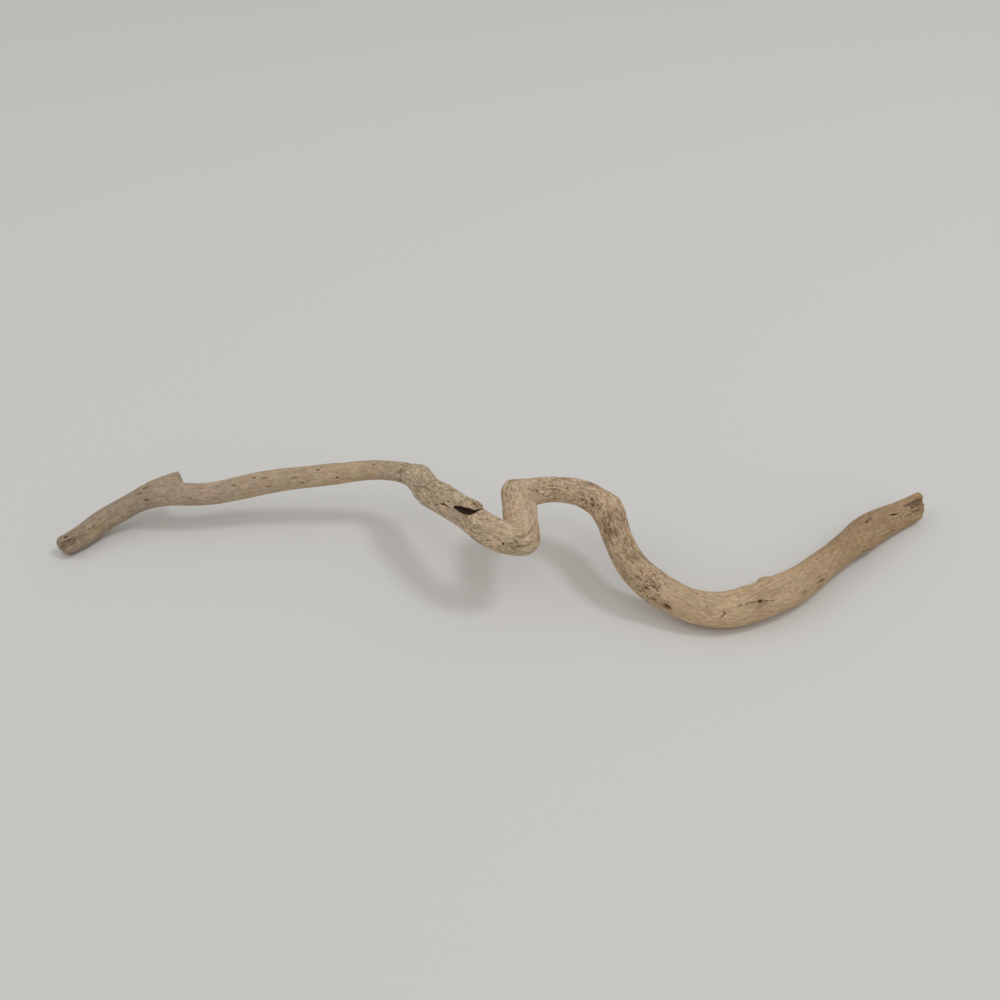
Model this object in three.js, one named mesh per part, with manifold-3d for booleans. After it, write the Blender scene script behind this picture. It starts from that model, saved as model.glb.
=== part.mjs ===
// A piece of driftwood: one weathered branch without bark, lying on a table on three low points.
// Millimetres, +Z up. +X runs from the thin end to the thick end, and the viewer stands on the -Y side.
// The origin is at the bottom centre of the box round the branch.
import * as THREE from 'three';
import { mergeVertices } from 'three/addons/utils/BufferGeometryUtils.js';
import Module from 'manifold-3d';

// How finely the wood is faceted
const SIDES = 26;
const STEP = 6.5;
const SMALL_SIDES = 12;
const SMALL_STEP = 4;
const DOME_STEPS = 4;

// The box that the trimmed wood stays inside: flat spots on the table, and the broken thick end
const TABLE_Z = 0;
const THICK_END_X = 301.5;
const REACH = 400;

// The middle of the box round the branch, as the stations count. The finished wood is moved from there to 0, 0.
const BOX_MIDDLE = [-2.1, 0.8];

// How far an end dome stands out, as a share of the half width there
const ROUND = 1;
const WORN = 0.5;
const BLUNT = 0.12;

// A station is x, y, z of the middle of the wood, half its width sideways and half its depth up and down.
// The branch turns sharply at the elbow and at the shoulder, and both runs that meet there share the station.
const ELBOW = [14.2, -30.2, 53.8, 10.6, 10.5];
const SHOULDER = [12.3, 17, 50, 11.4, 10.0];

const THIN_RUN = [
  [-299.5, 13.4, 8.3, 7.2, 7.2],
  [-291, 23.6, 7.4, 8.0, 8.0],
  [-280.5, 33.6, 11.6, 8.2, 8.2],
  [-267, 40.7, 16.6, 8.0, 8.0],
  [-252, 46.4, 22.3, 8.3, 8.3],
  [-234, 47.2, 26.5, 8.5, 8.5],
  [-205, 45.6, 27.8, 7.9, 7.9],
  [-165, 51, 33.2, 8.2, 8.2],
  [-115, 53, 39.7, 7.3, 7.3],
  [-90, 53.4, 42.5, 6.9, 6.9],
  [-71, 50.8, 43.6, 7.1, 7.1],
  [-58, 42.5, 45.3, 8.7, 8.7],
  [-46.8, 23, 49.5, 10.3, 10.3],
  [-24, -7, 56.8, 9.6, 9.6],
  [-7, -25.5, 57.2, 9.7, 9.7],
  [5, -31, 55.6, 10.4, 10.4],
  ELBOW,
];

const COLUMN_RUN = [
  ELBOW,
  [13.2, -6, 51.5, 11.3, 9.8],
  SHOULDER,
];

const THICK_RUN = [
  SHOULDER,
  [26, 23.6, 49, 9.0, 9.0],
  [40, 25, 48.8, 8.8, 8.8],
  [56, 21.7, 48, 9.3, 9.3],
  [67, 13.5, 45.5, 10.0, 10.0],
  [73.3, 2, 41, 10.1, 10.1],
  [76.8, -11, 35.5, 9.8, 9.8],
  [83.8, -26, 29, 10.1, 10.1],
  [97, -38, 21.4, 10.7, 10.7],
  [108, -43.6, 17.2, 10.7, 10.7],
  [120, -48.6, 13.8, 10.9, 10.9],
  [143, -50.6, 11.4, 11.6, 11.6],
  [167, -44.2, 13.4, 11.5, 11.5],
  [192, -30.8, 13.2, 11.2, 11.2],
  [220, -6.2, 12.6, 10.1, 10.1],
  [239, 10.2, 12.8, 10.4, 10.4],
  [254, 23.4, 12.6, 12.0, 12.0],
  [270, 35.4, 11.0, 10.8, 10.8],
  [284, 44.6, 9.3, 9.6, 9.6],
  [305, 56.4, 10.2, 8.8, 8.8],
];

// The snapped fork keeps the thin end's line where the branch turns away from it, and ends broken off
const FORK_STUB = [
  [-258, 42.5, 20.5, 7.2, 7.6],
  [-246, 49.8, 25.4, 7.0, 8.4],
  [-236, 54.2, 28.6, 6.4, 8.2],
  [-228, 57.6, 30.6, 5.4, 6.6],
];

// A twig worn down to a nub on the inner side of the wide bend
const NUB = [
  [172, -40, 14.5, 9.0, 8.4],
  [171, -36, 19.5, 6.6, 6.2],
  [170.3, -33.2, 23.0, 4.6, 4.4],
];

// A peeled tongue of wood along the top of the slope, and the hollow that is open to the viewer under it
const TONGUE = [
  [-41, 13, 57.5, 4.6, 3.2],
  [-33.4, 3.2, 62.4, 4.2, 3.4],
  [-28.7, -2.3, 63.8, 3.6, 3.2],
  [-23.4, -6.4, 65.3, 3.1, 2.8],
  [-18.3, -9.9, 66.2, 2.7, 2.3],
  [-13.4, -12.8, 66.7, 2.0, 1.7],
];
const TONGUE_HOLLOW = [
  [-30.3, -9.2, 62.4, 0.8, 0.8],
  [-26, -11.8, 62.2, 2.4, 2.4],
  [-21.5, -14.2, 62.6, 3.1, 3.1],
  [-17, -16.4, 64.0, 2.5, 2.5],
  [-13, -18.7, 66.6, 0.9, 0.9],
];

// Rotted pith opens as a groove at the thin end, and as a deeper ragged hole in the thick end
const THIN_END_GROOVE = [
  [-305, 5.0, 8.6, 2.9, 2.9],
  [-296.5, 10.4, 12.0, 2.5, 2.5],
  [-285.5, 18.8, 13.2, 1.3, 1.3],
];
const THICK_END_HOLE = [
  [307, 54.5, 16.0, 2.4, 1.8],
  [297, 49, 17.2, 2.2, 1.8],
  [284, 43, 18.2, 0.8, 0.8],
];

// Swellings (and dents, where the height is below zero): place on the skin, height and spread
const SWELLS = [
  { at: [-252, 48, 31], height: 2.0, spread: 3.5 },
  { at: [-52.5, 41, 54], height: 2.8, spread: 4.5 },
  { at: [-43.5, 29, 59], height: -1.8, spread: 4.5 },
  { at: [-55, 20, 46], height: 0.7, spread: 7 },
  { at: [2.5, 24, 55.5], height: 2.6, spread: 5 },
  { at: [78, 11, 48], height: 2.6, spread: 5.5 },
  { at: [84, -8, 44], height: -0.8, spread: 5 },
  { at: [106, -55, 14], height: -1.4, spread: 6 },
  { at: [179.5, -35, 22], height: 1.3, spread: 4.5 },
  { at: [253, 8, 9], height: 0.8, spread: 6 },
];

// Long shallow ridges that wind with the grain, each as a share of the half width
const RIDGES = [
  { share: 0.022, lobes: 2, pitch: 37, phase: 0.4 },
  { share: 0.018, lobes: 3, pitch: -61, phase: 1.1 },
  { share: 0.012, lobes: 5, pitch: 29, phase: 2.0 },
];

const WOOD = new THREE.MeshStandardMaterial({ color: 0xb29a7c, roughness: 0.85, metalness: 0 });

const wasm = await Module();
wasm.setup();

function solidOf(geometry) {
  const bare = geometry.clone();
  bare.deleteAttribute('normal');
  bare.deleteAttribute('uv');
  const merged = mergeVertices(bare);
  const vertProperties = Float32Array.from(merged.attributes.position.array);
  const triVerts = Uint32Array.from(merged.index.array);
  return new wasm.Manifold(new wasm.Mesh({ numProp: 3, vertProperties, triVerts }));
}

// A closed skin over rings of points, with a fan from a middle point over each end ring
function skin(rings, startPoint, endPoint) {
  const sides = rings[0].length;
  const points = [...rings.flat(), startPoint, endPoint];
  const startIndex = points.length - 2;
  const endIndex = points.length - 1;
  const lastRing = (rings.length - 1) * sides;
  const faces = [];
  for (let j = 0; j < sides; j += 1) {
    const k = (j + 1) % sides;
    for (let here = 0; here < lastRing; here += sides) {
      const next = here + sides;
      faces.push(here + j, here + k, next + k);
      faces.push(here + j, next + k, next + j);
    }
    faces.push(startIndex, k, j);
    faces.push(endIndex, lastRing + j, lastRing + k);
  }
  const geometry = new THREE.BufferGeometry();
  const numbers = points.flatMap((point) => point.toArray());
  geometry.setAttribute('position', new THREE.Float32BufferAttribute(numbers, 3));
  geometry.setIndex(faces);
  return geometry;
}

function ridgeHeight(halfWidth, angle, distance) {
  let height = 0;
  for (const { share, lobes, pitch, phase } of RIDGES) {
    height += share * halfWidth * Math.cos(lobes * angle + distance / pitch + phase);
  }
  return height;
}

function swellHeight(point) {
  let total = 0;
  for (const { at, height, spread } of SWELLS) {
    const gap = point.distanceTo(new THREE.Vector3(...at)) / spread;
    total += height * Math.exp(-gap * gap / 2);
  }
  return total;
}

// Stations as smooth curves: the middle line, and the half width and half depth along it
function smoothStations(stations) {
  const middles = stations.map(([x, y, z]) => new THREE.Vector3(x, y, z));
  return {
    path: new THREE.CatmullRomCurve3(middles),
    widths: new THREE.SplineCurve(stations.map((station, i) => new THREE.Vector2(i, station[3]))),
    depths: new THREE.SplineCurve(stations.map((station, i) => new THREE.Vector2(i, station[4]))),
  };
}

// A solid length of wood along its stations, closed by a dome at each end
function run(stations, startDome, endDome, { sides = SIDES, step = STEP, relief = true } = {}) {
  const { path, widths, depths } = smoothStations(stations);
  const length = path.getLength();
  const steps = Math.ceil(length / step);

  // The ring at a fraction of the length, narrowed to a share and shifted along by a share of the half width
  const ring = (fraction, narrow, shift) => {
    const t = path.getUtoTmapping(fraction);
    const along = path.getTangent(t);
    const side = new THREE.Vector3(0, 0, 1).cross(along).normalize();
    const rise = new THREE.Vector3().crossVectors(along, side);
    const halfWidth = widths.getPoint(t).y;
    const halfDepth = depths.getPoint(t).y;
    const middle = path.getPoint(t).addScaledVector(along, shift * halfWidth);
    const points = [];
    for (let j = 0; j < sides; j += 1) {
      const angle = (2 * Math.PI * j) / sides;
      const spoke = side.clone().multiplyScalar(Math.cos(angle) * halfWidth * narrow);
      spoke.addScaledVector(rise, Math.sin(angle) * halfDepth * narrow);
      const point = middle.clone().add(spoke);
      if (relief) {
        const height = ridgeHeight(halfWidth, angle, fraction * length) + swellHeight(point);
        point.addScaledVector(spoke.normalize(), height * narrow);
      }
      points.push(point);
    }
    return { points, middle };
  };

  const rings = [];
  for (let i = 1; i < DOME_STEPS; i += 1) {
    const bend = (Math.PI / 2) * (i / DOME_STEPS);
    rings.push(ring(0, Math.sin(bend), -startDome * Math.cos(bend)).points);
  }
  for (let i = 0; i <= steps; i += 1) {
    rings.push(ring(i / steps, 1, 0).points);
  }
  for (let i = DOME_STEPS - 1; i > 0; i -= 1) {
    const bend = (Math.PI / 2) * (i / DOME_STEPS);
    rings.push(ring(1, Math.sin(bend), endDome * Math.cos(bend)).points);
  }
  return solidOf(skin(rings, ring(0, 0, -startDome).middle, ring(1, 0, endDome).middle));
}

function smallRun(stations, startDome, endDome) {
  return run(stations, startDome, endDome, { sides: SMALL_SIDES, step: SMALL_STEP, relief: false });
}

// The space above the table that ends at the broken thick end
function keptSpace() {
  const box = new THREE.Box3(
    new THREE.Vector3(-REACH, -REACH, TABLE_Z),
    new THREE.Vector3(THICK_END_X, REACH, REACH),
  );
  const size = box.getSize(new THREE.Vector3());
  const middle = box.getCenter(new THREE.Vector3());
  return solidOf(new THREE.BoxGeometry(...size.toArray()).translate(...middle.toArray()));
}

function branch() {
  let wood = run(THIN_RUN, WORN, ROUND);
  wood = wood.add(run(COLUMN_RUN, ROUND, ROUND));
  wood = wood.add(run(THICK_RUN, ROUND, BLUNT));
  wood = wood.subtract(smallRun(TONGUE_HOLLOW, ROUND, ROUND));
  wood = wood.add(smallRun(TONGUE, ROUND, WORN));
  wood = wood.add(smallRun(FORK_STUB, ROUND, BLUNT));
  wood = wood.add(smallRun(NUB, ROUND, BLUNT));
  wood = wood.subtract(smallRun(THIN_END_GROOVE, BLUNT, ROUND));
  wood = wood.subtract(smallRun(THICK_END_HOLE, BLUNT, ROUND));
  return wood.intersect(keptSpace());
}

function meshOf(solid, name, material) {
  const { vertProperties, triVerts } = solid.getMesh();
  const geometry = new THREE.BufferGeometry();
  geometry.setAttribute('position', new THREE.BufferAttribute(Float32Array.from(vertProperties), 3));
  geometry.setIndex(Array.from(triVerts));
  geometry.translate(-BOX_MIDDLE[0], -BOX_MIDDLE[1], 0);
  geometry.computeVertexNormals();
  const mesh = new THREE.Mesh(geometry, material);
  mesh.name = name;
  return mesh;
}

const part = new THREE.Group();
part.name = 'piece_of_driftwood';
part.add(meshOf(branch(), 'driftwood', WOOD));

export default part;
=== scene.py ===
import itertools
import math

import bmesh
import bpy
import numpy as np
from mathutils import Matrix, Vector


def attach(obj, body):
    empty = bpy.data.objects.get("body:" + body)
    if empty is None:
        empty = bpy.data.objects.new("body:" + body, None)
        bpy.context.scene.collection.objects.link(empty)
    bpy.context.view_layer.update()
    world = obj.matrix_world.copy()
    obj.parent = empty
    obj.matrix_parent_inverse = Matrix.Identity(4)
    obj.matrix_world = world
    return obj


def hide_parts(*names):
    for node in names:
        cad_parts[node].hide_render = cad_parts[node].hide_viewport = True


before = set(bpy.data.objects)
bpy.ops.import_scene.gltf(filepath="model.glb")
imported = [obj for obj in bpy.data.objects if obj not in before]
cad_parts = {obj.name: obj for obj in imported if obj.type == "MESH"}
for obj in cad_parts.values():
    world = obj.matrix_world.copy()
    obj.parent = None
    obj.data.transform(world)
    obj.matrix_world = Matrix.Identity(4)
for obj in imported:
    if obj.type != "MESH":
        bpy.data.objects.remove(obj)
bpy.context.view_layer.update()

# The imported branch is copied, made even and fine, and then weathered by moving its points: grain,
# cracks, pits and ragged ends. Lengths are millimetres, places are in the frame of the part, and s is
# the distance along the grain line from the thin end. Blender's own lengths are metres.
MM = 0.001
SEED = 11

# How fine the worked skin is, how often it is smoothed on plain stretches and near details, and how many
# triangles are kept of it
SKIN_VOXEL = 0.42
PLAIN_SMOOTHING = 26
DETAIL_SMOOTHING = 3
SKIN_TRIANGLES = 188000

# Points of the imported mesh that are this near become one, and narrower faces than this are taken out
SAME_PLACE = 0.001
SLIVER = 0.01

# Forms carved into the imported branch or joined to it. Each has stations of x, y, z, half width and half
# depth, and the direction that its depth lies along.
LOFT_SIDES = 20
LOFT_SPACING = 1.0
VIEWED_FROM_FRONT = (0, 0.766, -0.643)
TONGUE_HOLLOW = [
    (-26.4, -11.0, 63.1, 0.8, 2.0), (-23.8, -13.3, 63.9, 1.6, 3.6), (-21.0, -15.8, 64.5, 2.1, 4.6),
    (-18.6, -17.4, 65.0, 2.1, 4.8), (-16.2, -18.5, 65.6, 1.8, 4.2), (-13.8, -19.0, 66.1, 1.1, 2.8),
    (-11.6, -18.2, 66.6, 0.7, 1.6), (-9.3, -17.0, 66.8, 0.4, 0.9),
]
TONGUE = [
    (-36.5, 8.5, 60.6, 4.4, 3.0), (-31.3, 2.4, 62.8, 4.4, 3.0), (-26.6, -3.1, 64.0, 3.9, 2.8),
    (-21.3, -7.2, 65.4, 3.4, 2.5), (-16.2, -10.7, 66.2, 2.8, 2.2), (-11.7, -13.3, 66.8, 2.0, 1.7),
    (-8.9, -14.7, 66.9, 1.0, 0.9),
]
STUB_TIP = [
    (-246.0, 48.0, 25.0, 5.0, 5.0), (-235.0, 53.0, 29.0, 6.2, 6.8), (-223.6, 56.2, 31.9, 5.9, 6.0),
]
FORMS = [
    ("DIFFERENCE", TONGUE_HOLLOW, VIEWED_FROM_FRONT),
    ("UNION", TONGUE, VIEWED_FROM_FRONT),
    ("UNION", STUB_TIP, VIEWED_FROM_FRONT),
]

# The line that the grain follows, from the thin end to the thick end
GRAIN_LINE = [
    (-297.4, 12.6, 8.3), (-288.9, 22.8, 7.4), (-278.4, 32.8, 11.6), (-264.9, 39.9, 16.6),
    (-249.9, 45.6, 22.3), (-231.9, 46.4, 26.5), (-202.9, 44.8, 27.8), (-162.9, 50.2, 33.2),
    (-112.9, 52.2, 39.7), (-87.9, 52.6, 42.5), (-68.9, 50.0, 43.6), (-55.9, 41.7, 45.3),
    (-44.7, 22.2, 49.5), (-21.9, -7.8, 56.8), (-4.9, -26.3, 57.2), (7.1, -31.8, 55.6),
    (16.3, -31.0, 53.8), (15.3, -6.8, 51.5), (14.4, 16.2, 50.0), (28.1, 22.8, 49.0),
    (42.1, 24.2, 48.8), (58.1, 20.9, 48.0), (69.1, 12.7, 45.5), (75.4, 1.2, 41.0),
    (78.9, -11.8, 35.5), (85.9, -26.8, 29.0), (99.1, -38.8, 21.4), (110.1, -44.4, 17.2),
    (122.1, -49.4, 13.8), (145.1, -51.4, 11.4), (169.1, -45.0, 13.4), (194.1, -31.6, 13.2),
    (222.1, -7.0, 12.6), (241.1, 9.4, 12.8), (256.1, 22.6, 12.6), (272.1, 34.6, 11.0),
    (286.1, 43.8, 9.3), (307.1, 55.6, 10.2),
]

# How far apart the points of that line are, how far it runs on past both ends, how widely the skin
# blends it, and how many points of the skin are worked on at once
LINE_SPACING = 3.0
LINE_END = 15.0
GRAIN_BLEND = 3.0
CHUNK = 20000

# Noise: how many cells there are before it repeats, and what brings it to about -1 to 1
NOISE_CELLS = 64
NOISE_GAIN = 1.4

# Waves in the skin: length along the grain, width across it, height. Their place in the list is the seed
# of their noise. A shift picks a part of a noise.
WAVES = [(34, 9, 0.34), (15, 4.5, 0.20), (22, 2.0, 0.07), (9, 1.2, 0.05)]
WAVE_SHIFT = 17.0

# The other noise of the skin: length along the grain, width across it, shift and seed
TORN_CROWD = (16, 6, 4, 30)
CREASE_WANDER = (1e3, 6, 2, 36)
STAIN_MOTTLE = (4, 1.6, 9, 41)
LONG_FIBRES = (9, 0.9, 5, 51)
SHORT_FIBRES = (5, 0.5, 3, 52)

# Short marks pressed into the grain, by stretch: from s, to s, how many, longest, half width, depth and
# most slant
MARKS = [
    (2, 60, 110, 3.6, 0.26, 0.22, 0.35),
    (60, 160, 60, 3.4, 0.24, 0.18, 0.15),
    (160, 248, 80, 3.4, 0.24, 0.18, 0.20),
    (248, 320, 640, 3.6, 0.25, 0.26, 0.60),
    (320, 372, 520, 3.6, 0.24, 0.25, 0.60),
    (372, 420, 220, 3.8, 0.22, 0.20, 0.25),
    (416, 500, 700, 3.2, 0.26, 0.28, 0.50),
    (490, 552, 700, 3.0, 0.32, 0.34, 0.70),
    (552, 700, 40, 2.6, 0.25, 0.15, 0.30),
    (690, 788, 120, 5.0, 0.26, 0.24, 0.22),
]

# Cracks: points along each, half width, depth, how dark, and the height of the lifted fibres beside it
CRACKS = [
    ([(-38.5, -0.5, 59.2), (-36.5, -3.2, 59.9), (-33.0, -6.7, 61.2),
     (-29.5, -10.9, 61.1)], 0.42, 1.5, 1.0, 0.2),
    ([(151.0, -57.0, 21.0), (159.6, -54.9, 21.9), (165.8, -53.7, 21.8),
     (176.6, -51.7, 20.5)], 0.40, 0.7, 0.62, 0.15),
    ([(205.8, -35.1, 18.5), (210.2, -31.6, 18.0), (214.3, -28.0, 17.0)], 0.62, 1.4, 0.85, 0.5),
    ([(196.2, -43.0, 17.5), (199.4, -40.4, 18.3)], 0.6, 0.9, 0.7, 0.2),
    ([(271.5, 29.0, 22.1), (275.5, 31.3, 20.9), (280.0, 33.6, 19.4)], 0.60, 1.5, 1.0, 0.2),
    ([(285.4, 34.2, 15.6), (290.2, 37.6, 14.9), (294.7, 40.7, 15.0), (299.0, 43.5, 15.4),
     (301.6, 45.0, 15.5)], 0.42, 1.3, 0.9, 0.2),
    ([(289.0, 39.5, 17.6), (294.0, 43.0, 17.6), (300.5, 47.0, 17.4)], 0.35, 0.9, 0.8, 0.2),
    # These two paint an undercut shadow along the lower edge, in a shallow groove
    ([(247.0, 0.4, 12.6), (252.5, 5.4, 11.0), (259.7, 11.1, 8.2)], 0.8, 1.0, 0.8, 0.2),
    ([(266.6, 16.2, 13.9), (272.0, 20.5, 12.4), (277.3, 25.2, 10.9)], 0.7, 1.0, 0.8, 0.2),
    ([(140.1, -62.3, 15.3), (141.9, -61.5, 17.2), (143.1, -60.7, 18.2),
     (141.2, -60.2, 18.8)], 0.5, 0.6, 0.8, 0.0),
    ([(105.9, -52.8, 17.7), (109.6, -54.6, 15.8)], 1.5, 1.5, 0.75, 0.3),
    ([(91.9, -45.5, 26.7), (96.7, -48.0, 26.3)], 0.7, 0.8, 0.6, 0.3),
    ([(9.6, -37.6, 63.0), (12.2, -40.3, 59.9), (13.2, -41.5, 56.4)], 0.5, 0.6, 0.6, 0.0),
    ([(12.5, -38.0, 61.9), (14.6, -40.2, 58.5), (15.0, -41.0, 56.0)], 0.5, 0.6, 0.55, 0.0),
    ([(27.3, 15.6, 55.2), (25.4, 8.8, 56.4), (24.5, 2.2, 56.2),
     (25.4, -2.0, 54.8)], 0.8, 0.9, 0.6, 0.0),
    ([(-248.4, 43.6, 32.2), (-245.6, 45.2, 33.2), (-241.0, 47.6, 33.4)], 0.6, 0.9, 0.75, 0.2),
]

# Pits and worm holes: place, half length along the grain, half width, depth, how dark
PITS = [
    ((-244.1, 38.4, 27.0), 2.2, 0.9, 1.0, 0.62), ((-249.3, 41.6, 30.7), 2.4, 0.7, 0.7, 0.5),
    ((-212.9, 37.4, 29.3), 1.2, 0.6, 0.6, 0.66), ((-206.1, 42.2, 35.2), 2.2, 0.45, 0.5, 0.55),
    ((-194.0, 42.7, 36.2), 1.5, 0.5, 0.5, 0.6), ((-182.1, 42.7, 37.0), 2.0, 0.5, 0.5, 0.6),
    ((-168.6, 47.5, 40.2), 1.8, 0.6, 0.5, 0.8), ((-161.1, 46.6, 40.6), 2.3, 0.5, 0.5, 0.5),
    ((-158.7, 42.8, 35.9), 2.2, 0.6, 0.4, 0.5), ((-140.4, 45.6, 41.4), 3.2, 0.5, 0.4, 0.5),
    ((-134.8, 44.0, 38.2), 1.4, 0.6, 0.5, 0.7), ((-124.3, 50.1, 45.3), 1.3, 0.6, 0.6, 0.9),
    ((-110.3, 45.0, 41.8), 1.1, 0.7, 0.9, 0.95), ((-85.3, 50.7, 49.2), 1.0, 0.6, 0.6, 0.8),
    ((-295.3, 14.1, 15.3), 1.6, 1.2, 1.2, 0.8), ((3.9, -40.4, 58.3), 0.9, 0.8, 1.3, 1.0),
    ((165.8, -53.7, 21.8), 1.3, 1.1, 1.8, 1.0), ((132.4, -48.3, 23.1), 1.1, 0.5, 0.4, 0.5),
    ((252.2, 19.0, 24.6), 1.4, 0.8, 1.0, 0.8), ((255.4, 21.9, 24.8), 0.9, 0.6, 0.8, 0.75),
    ((56.5, 11.4, 50.2), 0.8, 0.7, 1.0, 0.9), ((63.1, 6.1, 50.3), 1.6, 1.0, 0.8, 0.7),
    ((62.5, 8.7, 52.8), 1.2, 0.6, 0.6, 0.7), ((202.1, -23.7, 23.6), 1.0, 0.5, 0.4, 0.5),
    ((209.7, -17.1, 23.2), 1.0, 0.5, 0.4, 0.5),
]

# Spots that are darker than the rest: place, spread, how dark
STAINS = [
    ((77.0, -4.4, 50.0), 5.5, 0.55), ((77.0, -12.0, 45.0), 6.5, 0.60),
    ((82.0, -22.0, 40.0), 5.5, 0.45), ((86.0, -30.5, 38.0), 4.5, 0.55),
    ((60.0, 10.0, 51.0), 5.0, 0.30), ((-27.0, -13.0, 63.0), 5.0, 0.35),
    ((12.0, -39.5, 60.0), 4.5, 0.40), ((-44.0, 20.0, 59.0), 7.0, 0.25),
    ((26.0, 6.0, 55.0), 5.0, 0.25), ((-88.0, 48.0, 45.0), 6.0, 0.22),
    ((166.0, -53.5, 21.8), 6.0, 0.60), ((172.0, -49.0, 24.0), 6.0, 0.45),
    ((210.0, -31.5, 18.0), 6.0, 0.60), ((197.0, -42.0, 18.0), 5.0, 0.50),
    ((232.0, 0.0, 22.0), 9.0, 0.30), ((253.0, 20.0, 24.0), 6.0, 0.45),
    ((298.0, 45.0, 16.0), 6.0, 0.55), ((-246.0, 42.0, 30.0), 7.0, 0.45),
    ((107.0, -53.0, 17.0), 4.5, 0.65), ((268.0, 25.0, 20.0), 7.0, 0.35),
    ((122.0, -52.0, 20.0), 8.0, 0.25), ((-293.0, 15.0, 14.0), 6.0, 0.30),
    ((-212.0, 40.0, 32.0), 6.0, 0.30), ((-160.0, 46.0, 38.0), 7.0, 0.28),
]

# Noise breaks those spots up: its middle, its change and its most
STAIN_MIDDLE = 0.75
STAIN_CHANGE = 0.55
STAIN_MOST = 1.3

# Painted shade in hollows, each with how dark it is and stations of x, y, z and reach across and along the
# view
THIN_END_HOLLOW = [
    (-303.0, 4.2, 8.6, 3.0, 3.0), (-294.4, 9.6, 12.0, 2.6, 2.6), (-283.4, 18.0, 13.2, 1.4, 1.4),
]
THICK_END_HOLLOW = [
    (309.0, 53.7, 16.0, 2.6, 2.6), (299.0, 48.2, 17.2, 2.4, 2.4), (286.0, 42.2, 18.2, 1.1, 1.1),
]
HOLLOW_SHADES = [(0.88, TONGUE_HOLLOW), (0.34, THIN_END_HOLLOW), (0.42, THICK_END_HOLLOW)]

# Broken ends: place, reach and height of the standing fibres
BREAKS = [
    ((-300.0, 9.0, 9.0), 9.0, 0.7), ((303.0, 54.5, 10.0), 10.0, 1.1),
    ((-226.0, 57.0, 31.0), 6.5, 0.6), ((172.4, -34.0, 24.0), 5.0, 0.4),
    ((-12.0, -14.5, 66.5), 5.0, 0.3),
]

# The fibres there: the share of short ones, how high and pale they stand for their noise, and how low the
# noise is where a split starts and how dark the split is
SHORT_FIBRE_SHARE = 0.6
FIBRE_HEIGHT = 0.5
FIBRE_PALE = 0.5
SPLIT_START = 0.2
SPLIT_DARK = 0.8

# Places with edges that the smoothing keeps: place and reach
DETAILS = [
    ((-33.0, -3.0, 61.5), 9.0), ((-24.0, -10.0, 64.0), 9.0), ((-15.0, -15.0, 66.0), 8.0),
    ((-297.0, 11.0, 11.0), 9.0), ((300.0, 54.0, 13.0), 9.0), ((-226.0, 56.5, 32.0), 9.0),
    ((172.0, -34.0, 22.0), 6.0),
]

# Detail is kept in full while start - fall * gap / reach is above 1, and not at all below 0
KEEP_START = 2
KEEP_FALL = 1.6

# How short marks vary: the shortest and weakest shares, most curl, how dark, how strongly they gather in
# crowds, and the length, turn, shift and seed of the noise that gathers them. The margins are how far past
# a mark's end and side the skin is moved.
MARK_END_MARGIN = 1
MARK_SIDE_MARGIN = 2
MARK_LEAST = 0.35
MARK_CURL = 0.12
MARK_DARK = 0.8
MARK_CROWD = 0.45
CROWD_LENGTH = 9
CROWD_TURN = 1.6
CROWD_SHIFT = 20
CROWD_SEED = 61

# A mark's level is 1 in its middle and 0 at its edge. This is the level of skin that no mark is near.
OUTSIDE = -2.0

# Lifted fibres beside a mark: where they stand, how wide, and how pale for their height
LIP_PLACE = 1.7
LIP_WIDTH = 0.55
LIP_PALE = 1.5

# Cracks: how far they wander and over what length, the shift and seeds of that noise, how far round them
# the skin is moved in half widths, their least width as a share, and how near a tip the thinning stops
CRACK_WANDER = 0.35
CRACK_WAVE = 1.7
CRACK_SHIFT = 31
CRACK_SEEDS = (21, 22, 23)
CRACK_REACH = 6
CRACK_LEAST = 0.3
CRACK_TIP = 0.06

# How far round a pit the skin is moved: half lengths of the pit and a little more
PIT_REACH = 4
PIT_MARGIN = 2

# How far to look round the middle of a hollow, how many half depths deep its painted shade reaches, and
# where that shade starts to fall off and how fast
HOLLOW_SEARCH = 20.0
HOLLOW_DEPTH = 2
HOLLOW_START = 3.2
HOLLOW_FALL = 2.3

# Skin lower than this isn't moved in full, so that the branch still rests on its flat spots
SETTLE_HEIGHT = 1.5

# Wear and painted highlight on what stands out, and painted shade in what lies deep: rounds of smoothing
# that find it, gain, start, most
WEAR_AND_SHADING_ROUNDS = 8
WEAR_AND_SHADING_GAIN = 4
WEAR_AND_SHADING_START = 0.25
WEAR_AND_SHADING_MOST = 0.5

# Marks that are at least this near and this strong keep their fine mesh
FINE_LEVEL = -0.6
FINE_STRENGTH = 0.75

# How tangled and torn the surface is along the grain: s and strength. Crowd noise changes it from place
# to place, between a least and a most, and low lumps of length, width, height and seed lie on it.
TANGLE = [
    (0, 0.35), (40, 0.25), (100, 0.15), (244, 0.20), (252, 0.75), (290, 1.0), (368, 0.95),
    (380, 0.55), (412, 0.60), (428, 0.90), (500, 1.0), (545, 0.95), (558, 0.18), (640, 0.25),
    (700, 0.15), (755, 0.35), (788, 0.85),
]

TORN_MIDDLE = 0.85
TORN_CHANGE = 0.7
TORN_LEAST = 0.35
TORN_MOST = 1.1
LUMPS = [(5.0, 1.9, 0.16, 34), (3.0, 1.2, 0.10, 35)]
LUMP_DRIFT = 0.5
LUMP_SHIFT = 11
DRIFT_SIZE = 5
DRIFT_SHIFT = 3
DRIFT_SEEDS = (31, 32, 33)

# The crease all round where the thin arm runs into the knob, with painted shade in it
CREASE_S = 253.0
CREASE_HALF_WIDTH = 1.3
CREASE_DEPTH = 0.7
CREASE_SWAY = 2.0
CREASE_SHADE = 0.35

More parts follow.
